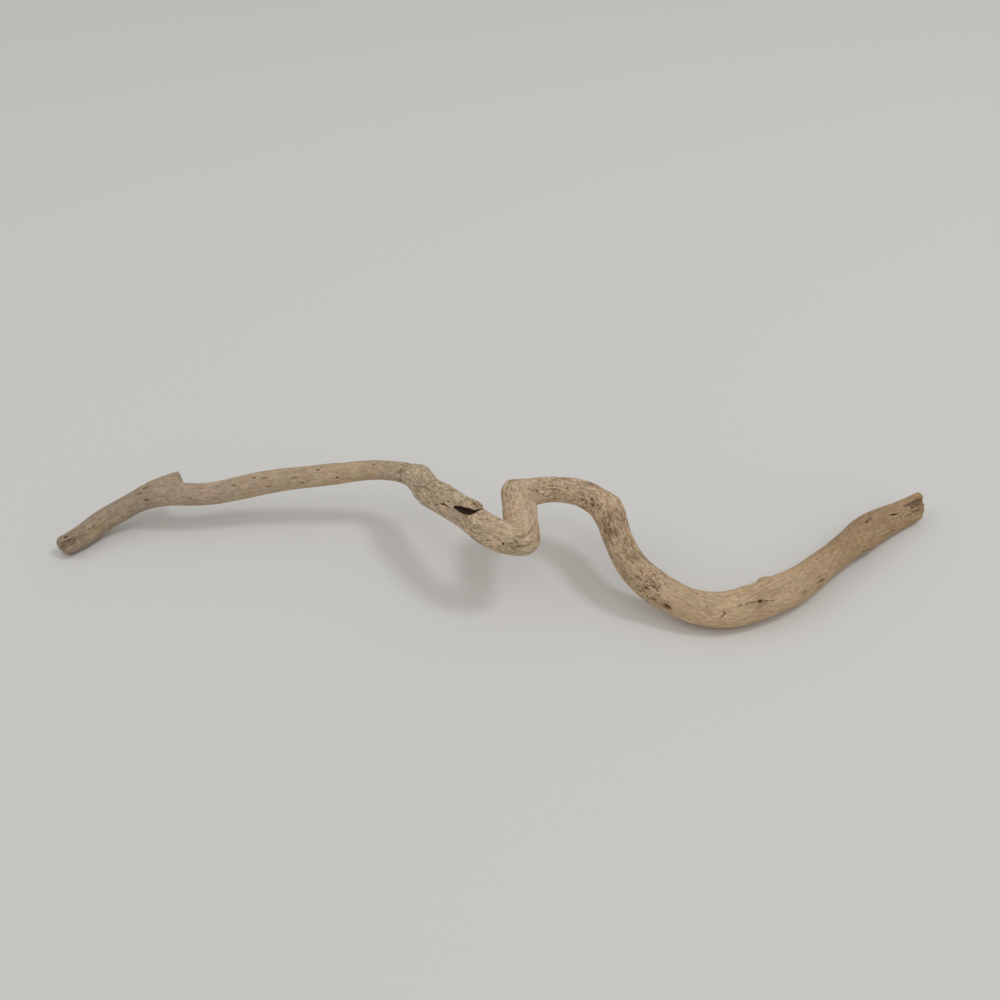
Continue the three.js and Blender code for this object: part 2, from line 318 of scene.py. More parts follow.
# Colour of the wood along the grain, as seen on the whole and without its marks: s and colour
TONES = [
    (0, (0.355, 0.272, 0.200)), (55, (0.390, 0.302, 0.220)), (90, (0.455, 0.355, 0.262)),
    (170, (0.505, 0.388, 0.275)), (200, (0.530, 0.395, 0.262)), (240, (0.475, 0.365, 0.250)),
    (262, (0.560, 0.462, 0.330)), (330, (0.540, 0.420, 0.305)), (352, (0.580, 0.445, 0.310)),
    (380, (0.600, 0.452, 0.315)), (430, (0.600, 0.450, 0.315)), (476, (0.585, 0.432, 0.300)),
    (505, (0.510, 0.365, 0.242)), (545, (0.540, 0.395, 0.262)), (570, (0.590, 0.428, 0.275)),
    (620, (0.560, 0.402, 0.256)), (650, (0.515, 0.364, 0.228)), (700, (0.405, 0.278, 0.163)),
    (740, (0.395, 0.270, 0.155)), (788, (0.430, 0.280, 0.158)),
]
# The colour of stains, also used for painted shade in the crease and in crevices
STAIN_AND_SHADE_COLOR = (0.185, 0.104, 0.044)
# Painted shade inside the hollows and the deepest marks
HOLLOW_SHADE_COLOR = (0.066, 0.033, 0.024)
MARK_COLOR = (0.140, 0.070, 0.024)
PALE_COLOR = (0.76, 0.600, 0.395)

# Patterns in the colour: steps per mm along the grain and across it, detail and distortion
FIBRE = (0.12, 1.6, 4.0, 0.3)
BANDS = (0.03, 0.16, 2.0, 0.0)
WARM_PATCHES = (0.06, 0.14, 2.0, 0.0)
GREEN_PATCHES = (0.05, 0.12, 1.0, 0.0)
DARK_PATCHES = (0.12, 0.25, 2.0, 0.0)
MOTTLE = (0.24, 0.6, 3.0, 0.6)
RAGGED = (1.3, 1.6, 2.0, 0.0)

# What the patterns do to the colour of the wood
DARK_BAND = (0.91, 0.92, 0.94)
PALE_BAND = (1.07, 1.06, 1.04)
WARM_TINT = (1.06, 0.96, 0.92)
GREEN_TINT = (0.95, 1.00, 0.89)

# Spreads from low and high in a pattern to low and high in what it changes
BAND_SHARE = (0.3, 0.7)
STREAKS = (0.30, 0.70, 0.86, 1.13)
WARM_SHARE = (0.45, 0.65, 0.0, 0.7)
GREEN_SHARE = (0.50, 0.68, 0.0, 0.7)
MOTTLE_SHADE = (0.34, 0.66, -0.42, 0.40)
MOTTLE_IN_TORN = (0.1, 0.9, 0.42, 1.0)
FLECKS_IN_TORN = (0.1, 1.0, 0.06, 0.85)
STAIN_AND_SHADE_SHARE = (0.3, 0.7, 0.4, 0.9)
STROKE_CROWD = (0.32, 0.68, -0.09, 0.045)
ROUGHNESS = (0.3, 0.7, 0.88, 0.74)

# Pale flecks and dark strokes: length, width, lean, and where they start and are full in their noise
FLECKS = [(2.6, 0.8, 0.3, 0.52, 0.70), (1.9, 0.7, -0.45, 0.53, 0.72)]
STROKES = [(2.6, 0.62, 0.5), (2.2, 0.55, -0.6), (3.6, 0.60, 0.05)]
STROKE_EDGE = (0.57, 0.70)
SPARSE_STROKES = (3.4, 0.6, 0.1, 0.68, 0.74)
DASH_DETAIL = 1.0
DASH_DISTORTION = 0.4
STROKES_IN_STAIN_AND_SHADE = 0.16
SPARSE_DARK = 0.5
STROKE_DARK = 0.8
PALE_WEAR_AND_HIGHLIGHT = 0.6

# The edges of pressed marks and of the painted shade in hollows: how ragged, and spreads to how much of
# their colour shows. From the first strength in BLACK_MARKS to the second, marks turn from their own
# colour to the hollows' painted shade.
MARK_RAGGED = 1.4
MARK_EDGE = (-0.2, 0.4)
MARK_SHARE = (0.0, 0.8, 0.0, 0.95)
BLACK_MARKS = (0.75, 1.0)
HOLLOW_RAGGED = (-0.3, 0.3, 0.45, 1.55)
HOLLOW_SHARE = (0.22, 0.72, 0.0, 0.95)

# The fine relief of the material: shares of its parts, strength, and height in mm
FIBRE_RELIEF = 0.5
FLECK_RELIEF = 0.4
STROKE_RELIEF = 0.8
MARK_RELIEF = 0.8
BUMP_STRENGTH = 0.5
BUMP_HEIGHT = 0.35
WOOD_SPECULAR = 0.3

# Camera: about where the photograph was taken from, in metres, how far it is tipped up from straight
# down, and its lens in mm
CAMERA_PLACE = (0.0021, -0.49414, 0.47438)
CAMERA_PITCH = math.radians(50)
CAMERA_LENS = 36
CAMERA_SENSOR = 36

# Light: soft lamps, each with direction round from +X, height in degrees, share of the floor's light,
# size in metres and colour. The rest of the floor's light comes from all round.
LAMPS = [
    (0, 60, 0.20, 0.9, (0.96, 0.98, 1.0)),
    (285, 64, 0.10, 2.8, (1.0, 0.99, 0.97)),
    (180, 42, 0.05, 2.4, (1.0, 0.98, 0.95)),
]

# The rest of the stage, with the lamps' distance and the floor's size in metres
LAMP_DISTANCE = 4.0
FLOOR_LIGHT = 2.45
FILL_COLOR = (1.0, 0.985, 0.96)
FLOOR_COLOR = (0.750, 0.746, 0.730)
FLOOR_ROUGHNESS = 0.9
FLOOR_SPECULAR = 0.1
FLOOR_SIZE = 12


def noise(points, seed):
    """Smooth noise from about -1 to 1 at points that count in cells."""
    table = np.random.default_rng(SEED + seed).uniform(-1, 1, (NOISE_CELLS,) * 3)
    cell = np.floor(points).astype(int)
    share = points - cell
    share = share * share * (3 - 2 * share)
    total = np.zeros(len(points))
    for corner in itertools.product((0, 1), repeat=3):
        x, y, z = ((cell + corner) % NOISE_CELLS).T
        weight = np.where(np.array(corner) == 1, share, 1 - share).prod(1)
        total += weight * table[x, y, z]
    return total * NOISE_GAIN


def unit(vectors):
    return vectors / np.linalg.norm(vectors, axis=-1, keepdims=True)


def smoothed(stations, spacing):
    """Stations about spacing apart, on a smooth line through the given ones. x, y and z come first."""
    points = np.array(stations, float)
    padded = np.vstack([2 * points[0] - points[1], points, 2 * points[-1] - points[-2]])
    pieces = []
    for a, b, c, d in zip(padded, padded[1:], padded[2:], padded[3:]):
        steps = max(1, round(np.linalg.norm((c - b)[:3]) / spacing))
        t = np.arange(steps)[:, None] / steps
        curve = 2 * b + (c - a) * t + (2 * a - 5 * b + 4 * c - d) * t**2 + (3 * b - a - 3 * c + d) * t**3
        pieces.append(curve / 2)
    return np.vstack([*pieces, points[-1:]])


def grain_line():
    """Points on the line that the grain follows, which runs on straight past both ends."""
    points = np.array(GRAIN_LINE, float)
    first = points[0] + unit(points[0] - points[1]) * LINE_END
    last = points[-1] + unit(points[-1] - points[-2]) * LINE_END
    return smoothed([first, *points, last], LINE_SPACING)


def squared_gaps(points, line):
    """The squared distance from each point to each point of the line."""
    return (points**2).sum(1)[:, None] - 2 * points @ line.T + (line**2).sum(1)


def grain_coordinates(points):
    """For each point: distance along the grain line, and how far to the side of it and above it."""
    line = grain_line()
    along = unit(np.gradient(line, axis=0))
    side = unit(np.cross((0, 0, 1), along))
    rise = np.cross(along, side)
    step = np.linalg.norm(np.diff(line, axis=0), axis=1)
    distance = np.concatenate([[0], np.cumsum(step)]) - LINE_END
    result = np.empty((len(points), 3))
    for start in range(0, len(points), CHUNK):
        some = points[start:start + CHUNK]
        gap = squared_gaps(some, line)
        weight = np.exp((gap.min(1, keepdims=True) - gap) / (2 * GRAIN_BLEND**2))
        weight /= weight.sum(1, keepdims=True)
        spoke = some - weight @ line
        result[start:start + CHUNK, 0] = weight @ distance
        result[start:start + CHUNK, 1] = (spoke * unit(weight @ side)).sum(1)
        result[start:start + CHUNK, 2] = (spoke * unit(weight @ rise)).sum(1)
    return result


def grain_direction(point):
    """The direction of the grain at a point."""
    line = grain_line()
    nearest = squared_gaps(point[None], line).argmin()
    return unit(np.gradient(line, axis=0))[nearest]


def evaluated_mesh(piece):
    """The piece's mesh with its modifiers applied."""
    graph = bpy.context.evaluated_depsgraph_get()
    return bpy.data.meshes.new_from_object(piece.evaluated_get(graph))


def bake_modifiers(piece):
    mesh = evaluated_mesh(piece)
    piece.modifiers.clear()
    piece.data = mesh


def lofted(name, stations, facing):
    """A closed tapering object through stations of x, y, z, half width and half depth along facing."""
    path = smoothed(stations, LOFT_SPACING)
    middle = path[:, None, :3]
    along = unit(np.gradient(path[:, :3], axis=0))
    wide = unit(np.cross(along, facing))
    deep = np.cross(wide, along)
    turn = np.arange(LOFT_SIDES)[:, None] * 2 * math.pi / LOFT_SIDES
    rings = middle + wide[:, None] * path[:, None, 3:4] * np.cos(turn)
    rings = rings + deep[:, None] * path[:, None, 4:5] * np.sin(turn)
    mesh = bpy.data.meshes.new(name)
    shape = bmesh.new()
    corners = [[shape.verts.new(point * MM) for point in ring] for ring in rings]
    for here, ahead in zip(corners, corners[1:]):
        for j in range(LOFT_SIDES):
            k = (j + 1) % LOFT_SIDES
            shape.faces.new((here[j], here[k], ahead[k], ahead[j]))
    shape.faces.new(corners[0])
    shape.faces.new(corners[-1])
    bmesh.ops.triangulate(shape, faces=shape.faces)
    bmesh.ops.recalc_face_normals(shape, faces=shape.faces)
    shape.to_mesh(mesh)
    shape.free()
    made = bpy.data.objects.new(name, mesh)
    bpy.context.scene.collection.objects.link(made)
    return made


def cut_and_join(piece, operation, stations, facing):
    """Takes a lofted form out of the piece, or adds it."""
    tool = lofted("form", stations, facing)
    change = piece.modifiers.new("form", "BOOLEAN")
    change.operation = operation
    change.solver = "EXACT"
    change.object = tool
    bake_modifiers(piece)
    bpy.data.objects.remove(tool)


def closed_copy(node):
    """A copy of a CAD node whose faces share their corners."""
    piece = bpy.data.objects.new("driftwood_weathered", node.data.copy())
    bpy.context.scene.collection.objects.link(piece)
    piece.data.materials.clear()
    shape = bmesh.new()
    shape.from_mesh(piece.data)
    bmesh.ops.remove_doubles(shape, verts=shape.verts, dist=SAME_PLACE * MM)
    shape.to_mesh(piece.data)
    shape.free()
    return piece


def drop_slivers(mesh):
    """Takes out faces that have next to no area."""
    shape = bmesh.new()
    shape.from_mesh(mesh)
    bmesh.ops.dissolve_degenerate(shape, dist=SLIVER * MM, edges=shape.edges)
    bmesh.ops.triangulate(shape, faces=[face for face in shape.faces if len(face.verts) > 3])
    shape.to_mesh(mesh)
    shape.free()


def even_skin(node):
    """A copy of a CAD node with its forms carved, a fine and even mesh, and its facets smoothed away."""
    piece = closed_copy(node)
    for operation, stations, facing in FORMS:
        cut_and_join(piece, operation, stations, facing)
    remesh = piece.modifiers.new("even", "REMESH")
    remesh.mode = "VOXEL"
    remesh.voxel_size = SKIN_VOXEL * MM
    bake_modifiers(piece)
    mesh = piece.data
    edges = read_edges(mesh)
    sharp = averaged(read_points(mesh), edges, DETAIL_SMOOTHING)
    plain = averaged(sharp, edges, PLAIN_SMOOTHING)
    keep = np.zeros(len(plain))
    for place, reach in DETAILS:
        gap = np.linalg.norm(sharp - np.array(place), axis=1)
        keep = np.maximum(keep, np.clip(KEEP_START - KEEP_FALL * gap / reach, 0, 1))
    write_points(mesh, plain + (sharp - plain) * keep[:, None])
    return piece


def read_points(mesh):
    flat = np.empty(len(mesh.vertices) * 3, np.float32)
    mesh.vertices.foreach_get("co", flat)
    return flat.reshape(-1, 3).astype(float) / MM


def write_points(mesh, points):
    mesh.vertices.foreach_set("co", (points * MM).astype(np.float32).ravel())
    mesh.update()


def read_normals(mesh):
    flat = np.empty(len(mesh.vertices) * 3, np.float32)
    mesh.vertices.foreach_get("normal", flat)
    return flat.reshape(-1, 3).astype(float)


def read_edges(mesh):
    flat = np.empty(len(mesh.edges) * 2, np.int32)
    mesh.edges.foreach_get("vertices", flat)
    return flat.reshape(-1, 2)


def averaged(points, edges, rounds):
    """The points, each drawn halfway to the middle of its neighbours, round by round."""
    count = len(points)
    near = np.bincount(edges.ravel(), minlength=count)
    columns = []
    for values in points.T:
        for _ in range(rounds):
            total = np.bincount(edges[:, 0], values[edges[:, 1]], count)
            total += np.bincount(edges[:, 1], values[edges[:, 0]], count)
            values = (values + total / near) / 2
        columns.append(values)
    return np.stack(columns, 1)


def store(mesh, name, values):
    """Keeps three values a point on the mesh, under a name that the material reads."""
    attribute = mesh.attributes.new(name, "FLOAT_VECTOR", "POINT")
    attribute.data.foreach_set("vector", values.astype(np.float32).ravel())


def falloff(distance, reach):
    return np.exp(-((distance / reach) ** 2))


class Skin:
    """The worked skin: its points, how far each is moved out, and how dark, pale or marked it is."""

    def __init__(self, points, normals):
        self.points = points
        self.normals = normals
        self.grain = grain_coordinates(points)
        self.along = self.grain[:, 0]
        self.radius = np.hypot(self.grain[:, 1], self.grain[:, 2])
        self.angle = np.arctan2(self.grain[:, 2], self.grain[:, 1])
        self.order = np.argsort(self.along)
        self.sorted_along = self.along[self.order]
        self.height = np.zeros(len(points))
        self.level = np.full(len(points), OUTSIDE)
        self.strength = np.zeros(len(points))
        self.pale = np.zeros(len(points))
        self.stain_and_shade = np.zeros(len(points))
        self.hollow_shade = np.zeros(len(points))
        self.torn = np.zeros(len(points))

    def between(self, start, end):
        """Indices of the points whose distance along the grain is between start and end."""
        first, last = np.searchsorted(self.sorted_along, (start, end))
        return self.order[first:last]

    def noise(self, length, width, shift, seed, drift=0.0):
        """Noise that is drawn out along the grain."""
        return noise(self.grain / (length, width, width) + drift + shift, seed)

    def press(self, where, gap, depth, dark, lip=0.0):
        """Presses a mark into the skin. Its gap is 0 in the middle and 1 at the edge."""
        around = lip * falloff(gap - LIP_PLACE, LIP_WIDTH)
        self.height[where] += around - depth * falloff(gap, 1)
        self.pale[where] = np.maximum(self.pale[where], np.minimum(LIP_PALE * around, 1))
        inner = 1 - gap > self.level[where]
        self.level[where] = np.where(inner, 1 - gap, self.level[where])
        self.strength[where] = np.where(inner, dark, self.strength[where])

    def waves(self):
        for seed, (length, width, height) in enumerate(WAVES):
            self.height += height * self.noise(length, width, WAVE_SHIFT, seed)

    def tangle(self):
        """Loose fibres, where the outer wood is torn: low lumps that lie along the grain."""
        crowd = np.clip(TORN_MIDDLE + TORN_CHANGE * self.noise(*TORN_CROWD), TORN_LEAST, TORN_MOST)
        self.torn = np.interp(self.along, *zip(*TANGLE)) * crowd
        drift = [self.noise(DRIFT_SIZE, DRIFT_SIZE, DRIFT_SHIFT, seed) for seed in DRIFT_SEEDS]
        drift = LUMP_DRIFT * np.stack(drift, 1)
        for length, width, height, seed in LUMPS:
            lump = self.noise(length, width, LUMP_SHIFT, seed, drift)
            self.height += height * lump * self.torn

    def crease(self):
        wander = CREASE_S + CREASE_SWAY * self.noise(*CREASE_WANDER)
        line = falloff(self.along - wander, CREASE_HALF_WIDTH)
        self.height -= CREASE_DEPTH * line
        # Painted shade along the crease
        self.stain_and_shade = np.maximum(self.stain_and_shade, CREASE_SHADE * line)

    def short_marks(self):
        chance = np.random.default_rng(SEED)
        for start, end, count, longest, half_width, depth, slant in MARKS:
            for _ in range(count):
                middle = chance.uniform(start, end)
                around = chance.uniform(-math.pi, math.pi)
                half_length = longest * chance.uniform(MARK_LEAST, 1.0) / 2
                turn = chance.uniform(-slant, slant)
                curl = chance.uniform(-MARK_CURL, MARK_CURL)
                strength = chance.uniform(MARK_LEAST, 1.0)
                turned = (CROWD_TURN * math.cos(around), CROWD_TURN * math.sin(around))
                cell = np.array([[middle / CROWD_LENGTH, *turned]]) + CROWD_SHIFT
                if noise(cell, CROWD_SEED)[0] < MARK_CROWD * chance.uniform(-1, 1):
                    continue
                reach = half_length + MARK_END_MARGIN
                where = self.between(middle - reach, middle + reach)
                gap = self.angle[where] - around
                across = (gap + math.pi) % (2 * math.pi) - math.pi
                across = across * self.radius[where]
                near = np.abs(across) < half_length + MARK_SIDE_MARGIN
                where = where[near]
                across = across[near]
                ahead = self.along[where] - middle
                run = ahead * math.cos(turn) + across * math.sin(turn)
                off = across * math.cos(turn) - ahead * math.sin(turn) + curl * run**2
                gap = np.hypot(off / half_width, (run / half_length) ** 2)
                self.press(where, gap, depth * strength, MARK_DARK * strength)

    def cracks(self):
        cells = self.points / CRACK_WAVE + CRACK_SHIFT
        wobble = np.stack([noise(cells, seed) for seed in CRACK_SEEDS], 1) * CRACK_WANDER
        for line, half_width, depth, dark, lip in CRACKS:
            corners = np.array(line)
            reach = CRACK_REACH * half_width
            low, high = corners.min(0) - reach, corners.max(0) + reach
            where = np.flatnonzero(((self.points > low) & (self.points < high)).all(1))
            place = self.points[where] + wobble[where]
            steps = np.linalg.norm(np.diff(corners, axis=0), axis=1)
            whole = steps.sum()
            nearest = np.full(len(where), np.inf)
            share = np.zeros(len(where))
            done = 0
            for a, b, step in zip(corners, corners[1:], steps):
                t = np.clip((place - a) @ (b - a) / step**2, 0, 1)
                gap = np.linalg.norm(place - a - t[:, None] * (b - a), axis=1)
                closer = gap < nearest
                nearest = np.where(closer, gap, nearest)
                share = np.where(closer, (done + t * step) / whole, share)
                done += step
            taper = np.sin(np.pi * np.clip(share, CRACK_TIP, 1 - CRACK_TIP)) ** 0.5
            gap = nearest / (half_width * (CRACK_LEAST + (1 - CRACK_LEAST) * taper))
            self.press(where, gap, depth * taper, dark, lip)

    def pits(self):
        for place, half_length, half_width, depth, dark in PITS:
            middle = np.array(place)
            reach = PIT_REACH * half_length + PIT_MARGIN
            where = np.flatnonzero(np.linalg.norm(self.points - middle, axis=1) < reach)
            way = grain_direction(middle)
            offset = self.points[where] - middle
            run = offset @ way
            off = np.linalg.norm(offset - run[:, None] * way, axis=1)
            self.press(where, np.hypot(run / half_length, off / half_width), depth, dark)

    def stains(self):
        mottle = STAIN_MIDDLE + STAIN_CHANGE * self.noise(*STAIN_MOTTLE)
        for place, spread, strength in STAINS:
            gap = np.linalg.norm(self.points - np.array(place), axis=1)
            blot = strength * falloff(gap, spread) * np.clip(mottle, 0, STAIN_MOST)
            self.stain_and_shade = np.maximum(self.stain_and_shade, blot)

    # Painted shade in the hollows, darkest deep in them
    def shade_hollows(self):
        for dark, stations in HOLLOW_SHADES:
            line = smoothed(stations, LOFT_SPACING)
            middle = line[:, :3].mean(0)
            where = np.flatnonzero(np.linalg.norm(self.points - middle, axis=1) < HOLLOW_SEARCH)
            offset = self.points[where, None] - line[:, :3]
            deep = offset @ np.array(VIEWED_FROM_FRONT)
            across = np.sqrt(np.maximum((offset**2).sum(2) - deep**2, 0))
            gap = np.hypot(across / line[:, 3], deep / (HOLLOW_DEPTH * line[:, 4])).min(1)
            shade = dark * np.clip(HOLLOW_START - HOLLOW_FALL * gap, 0, 1)
            self.hollow_shade[where] = np.maximum(self.hollow_shade[where], shade)

    def breaks(self):
        """Fibres that stand out of the broken ends, and splits between them that run along the grain."""
        fibres = self.noise(*LONG_FIBRES) + SHORT_FIBRE_SHARE * self.noise(*SHORT_FIBRES)
        for place, reach, height in BREAKS:
            gap = np.linalg.norm(self.points - np.array(place), axis=1)
            near = falloff(gap, reach)
            self.height += height * FIBRE_HEIGHT * fibres * near
            self.pale = np.maximum(self.pale, FIBRE_PALE * near * np.clip(fibres, 0, 1))
            split = np.clip(-fibres - SPLIT_START, 0, 1)
            self.stain_and_shade = np.maximum(self.stain_and_shade, SPLIT_DARK * near * split)

    def move_out(self):
        settle = np.clip(self.points[:, 2] / SETTLE_HEIGHT, 0, 1)
        moved = self.points + self.normals * (self.height * settle)[:, None]
        moved[:, 2] = np.maximum(moved[:, 2], 0)
        return moved


def tone_colors(skin):
    at, colors = zip(*TONES)
    return np.stack([np.interp(skin.along, at, channel) for channel in zip(*colors)], 1)


def weathered(node):
    piece = even_skin(node)
    mesh = piece.data
    skin = Skin(read_points(mesh), read_normals(mesh))
    skin.waves()
    skin.tangle()
    skin.crease()
    skin.short_marks()
    skin.cracks()
    skin.pits()
    skin.stains()
    skin.shade_hollows()
    skin.breaks()
    moved = skin.move_out()
    edges = read_edges(mesh)
    write_points(mesh, moved)
    normals = read_normals(mesh)
    # Painted shade where the skin lies deep, and paler wear with painted highlight where it stands out
    level = averaged(moved, edges, WEAR_AND_SHADING_ROUNDS)
    bulge = ((moved - level) * normals).sum(1)
    crevice_shade = np.clip(-bulge * WEAR_AND_SHADING_GAIN - WEAR_AND_SHADING_START, 0, WEAR_AND_SHADING_MOST)
    wear_and_painted_light = np.clip(bulge * WEAR_AND_SHADING_GAIN - WEAR_AND_SHADING_START, 0, WEAR_AND_SHADING_MOST)
    skin.stain_and_shade = np.maximum(skin.stain_and_shade, crevice_shade)
    skin.pale = np.maximum(skin.pale, wear_and_painted_light)
    store(mesh, "grain", skin.grain)
    store(mesh, "mark", np.stack([skin.level, skin.strength, skin.torn], 1))
    store(mesh, "wear_and_painted_light", np.stack([skin.stain_and_shade, skin.pale, skin.hollow_shade], 1))
    store(mesh, "tone", tone_colors(skin))
    plain = (skin.level < FINE_LEVEL) | (skin.strength < FINE_STRENGTH)
    piece.vertex_groups.new(name="plain").add(np.flatnonzero(plain).tolist(), 1.0, "REPLACE")
    thin = piece.modifiers.new("thin", "DECIMATE")
    thin.vertex_group = "plain"
    thin.ratio = SKIN_TRIANGLES / (2 * len(mesh.polygons))
    bake_modifiers(piece)
    piece.vertex_groups.clear()
    drop_slivers(piece.data)
    piece.data.polygons.foreach_set("use_smooth", [True] * len(piece.data.polygons))
    return piece


class Nodes:
    """Short ways to add the nodes of a material and join them."""

    def __init__(self, name):
        self.material = bpy.data.materials.new(name)
        self.material.use_nodes = True
        self.tree = self.material.node_tree
        self.tree.nodes.clear()

    def add(self, kind, inputs=(), **settings):
        made = self.tree.nodes.new(kind)
        for key, value in settings.items():
            setattr(made, key, value)
        for key, value in dict(inputs).items():
            if isinstance(value, bpy.types.NodeSocket):
                self.tree.links.new(value, made.inputs[key])
            else:
                made.inputs[key].default_value = value
        return made

    def attribute(self, name):
        return self.add("ShaderNodeAttribute", attribute_name=name).outputs["Vector"]

    def math(self, operation, a, b):
        return self.add("ShaderNodeMath", {0: a, 1: b}, operation=operation).outputs[0]

    def stretched(self, vector, scale):
        return self.add("ShaderNodeVectorMath", {0: vector, 1: scale}, operation="MULTIPLY").outputs[0]

    def noise(self, vector, detail, distortion):
        inputs = {"Vector": vector, "Scale": 1.0, "Detail": detail, "Distortion": distortion}
        return self.add("ShaderNodeTexNoise", inputs).outputs["Fac"]

    def spread(self, value, low, high, to_low=0.0, to_high=1.0):
        inputs = {"Value": value, "From Min": low, "From Max": high, "To Min": to_low, "To Max": to_high}
        return self.add("ShaderNodeMapRange", inputs).outputs["Result"]

    def mix(self, factor, a, b):
        """A colour between a and b. The sockets go by number, because their names aren't unique."""
        made = self.tree.nodes.new("ShaderNodeMix")
        made.data_type = "RGBA"
        for key, value in ((0, factor), (6, a), (7, b)):
            if isinstance(value, bpy.types.NodeSocket):
                self.tree.links.new(value, made.inputs[key])
            elif key == 0:
                made.inputs[key].default_value = value
            else:
                made.inputs[key].default_value = (*value, 1)
        return made.outputs[2]


def pattern(n, grain, steps):
    """Noise that is drawn out along the grain."""
    along, across, detail, distortion = steps
    return n.noise(n.stretched(grain, (along, across, across)), detail, distortion)


def shaded(n, color, value):
    """The colour times a grey value."""
    grey = n.add("ShaderNodeCombineXYZ", {0: value, 1: value, 2: value}).outputs[0]
    return n.add("ShaderNodeVectorMath", {0: color, 1: grey}, operation="MULTIPLY").outputs[0]


def dashes(n, grain, length, width, lean, low, high):
    """Short strokes along the grain, leaning to one side: 1 in the strokes and 0 between them."""
    along = n.add("ShaderNodeSeparateXYZ", {0: grain}).outputs[0]
    shift = n.math("MULTIPLY", along, lean / width)
    back = n.math("MULTIPLY", along, -lean / width)
    leaning = n.add("ShaderNodeCombineXYZ", {0: 0.0, 1: shift, 2: back}).outputs[0]
    even = n.stretched(grain, (1 / length, 1 / width, 1 / width))
    place = n.add("ShaderNodeVectorMath", {0: even, 1: leaning}, operation="ADD").outputs[0]
    return n.spread(n.noise(place, DASH_DETAIL, DASH_DISTORTION), low, high)


def sound_color(n, grain, fibre):
    """The wood's colour without its flecks, stains and marks: bands, warm and green patches, streaks."""
    tone = n.attribute("tone")
    band = n.spread(pattern(n, grain, BANDS), *BAND_SHARE)
    color = n.mix(band, n.stretched(tone, DARK_BAND), n.stretched(tone, PALE_BAND))
    warm = n.spread(pattern(n, grain, WARM_PATCHES), *WARM_SHARE)
    color = n.mix(warm, color, n.stretched(color, WARM_TINT))
    green = n.spread(pattern(n, grain, GREEN_PATCHES), *GREEN_SHARE)
    color = n.mix(green, color, n.stretched(color, GREEN_TINT))
    return shaded(n, color, n.spread(fibre, *STREAKS))


def pale_flecks(n, grain, torn):
    """Pale flecks, denser where the wood is torn."""
    first, second = (dashes(n, grain, *fleck) for fleck in FLECKS)
    return n.math("MULTIPLY", n.math("MAXIMUM", first, second), n.spread(torn, *FLECKS_IN_TORN))


def dark_strokes(n, grain, patches, stain_and_shade, torn):
    """Fine dark strokes: many and crossing where the wood is torn, few and along the grain elsewhere."""
    extra = n.math("MULTIPLY", stain_and_shade, STROKES_IN_STAIN_AND_SHADE)
    crowd = n.math("ADD", n.spread(patches, *STROKE_CROWD), extra)
    fine = 0.0
    for length, width, lean in STROKES:
        stroke = dashes(n, grain, length, width, lean, 0.0, 1.0)
        stroke = n.spread(n.math("ADD", stroke, crowd), *STROKE_EDGE)
        fine = n.math("MAXIMUM", fine, stroke)
    sparse = n.math("MULTIPLY", dashes(n, grain, *SPARSE_STROKES), SPARSE_DARK)
    return n.math("MAXIMUM", n.math("MULTIPLY", fine, torn), sparse)


